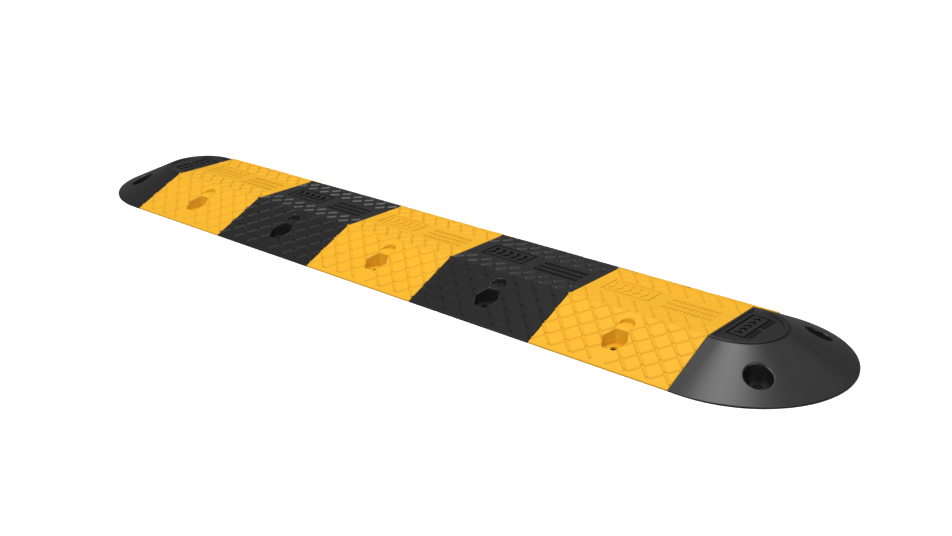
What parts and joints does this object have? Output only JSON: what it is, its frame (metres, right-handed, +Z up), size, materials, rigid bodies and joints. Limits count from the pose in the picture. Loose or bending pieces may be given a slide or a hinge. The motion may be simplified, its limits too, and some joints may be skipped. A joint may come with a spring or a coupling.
{
  "type": "rubber speed bump",
  "caption": "Low modular speed bump: ramped rubber blocks in alternating yellow and black between two rounded end caps, with bolt pockets on both ramps.",
  "frame": {"origin": "on the road surface, under the middle of the row", "axes": "+X along the row towards one end cap, +Y across it, +Z up from the road"},
  "size_m": [1.636, 0.35, 0.05],
  "materials": {
    "yellow_rubber": "moulded yellow rubber, satin",
    "black_rubber": "moulded black rubber, satin",
    "zinc_steel": "zinc-plated pressed steel",
    "bright_steel": "bright drawn steel bar"
  },
  "bodies": {
    "root": {"module_1_yellow": "yellow_rubber", "washers_module_1": "zinc_steel", "module_2_black": "black_rubber", "washers_module_2": "zinc_steel", "module_3_yellow": "yellow_rubber", "washers_module_3": "zinc_steel", "module_4_black": "black_rubber", "washers_module_4": "zinc_steel", "module_5_yellow": "yellow_rubber", "washers_module_5": "zinc_steel", "end_cap_left": "black_rubber", "washers_cap_left": "zinc_steel", "end_cap_right": "black_rubber", "washers_cap_right": "zinc_steel", "joining_pins_1": "bright_steel", "joining_pins_2": "bright_steel", "joining_pins_3": "bright_steel", "joining_pins_4": "bright_steel", "joining_pins_5": "bright_steel", "joining_pins_6": "bright_steel"}
  },
  "joints": []
}
